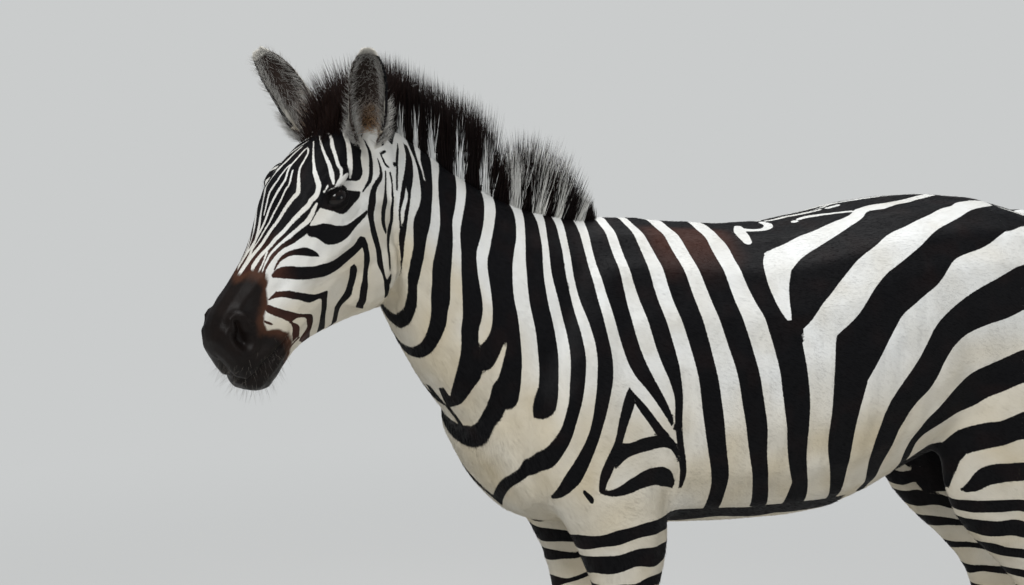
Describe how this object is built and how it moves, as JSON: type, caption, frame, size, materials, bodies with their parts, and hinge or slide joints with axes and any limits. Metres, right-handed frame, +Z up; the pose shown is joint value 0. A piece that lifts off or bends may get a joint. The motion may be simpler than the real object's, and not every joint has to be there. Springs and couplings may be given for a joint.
{
  "type": "zebra",
  "caption": "Life-size still model of a plains zebra standing square with its head turned a little to its left.",
  "frame": {"origin": "on the floor, at the middle of the model's box", "axes": "+X towards the tail, the head faces -X and a little to -Y, -Y is the animal's left, +Z up"},
  "size_m": [1.8966, 0.5232, 1.6251],
  "materials": {
    "coat": "short glossy coat in black and cream stripes over skin",
    "long_hair": "stiff upright mane hair and hanging tail hair, satin",
    "hoof_horn": "dark ringed horn, satin",
    "eye": "wet dark brown eye, glossy"
  },
  "bodies": {
    "root": {"trunk": "coat", "neck": "coat", "head": "coat", "ear_left": "coat", "ear_right": "coat", "tail_dock": "coat", "foreleg_upper_left": "coat", "foreleg_upper_right": "coat", "foreleg_lower_left": "coat", "foreleg_lower_right": "coat", "hindleg_upper_left": "coat", "hindleg_upper_right": "coat", "hindleg_lower_left": "coat", "hindleg_lower_right": "coat", "fore_hoof_left": "hoof_horn", "fore_hoof_right": "hoof_horn", "hind_hoof_left": "hoof_horn", "hind_hoof_right": "hoof_horn", "mane": "long_hair", "forelock": "long_hair", "tail_tuft": "long_hair", "eye_left": "eye", "eye_right": "eye"}
  },
  "joints": []
}
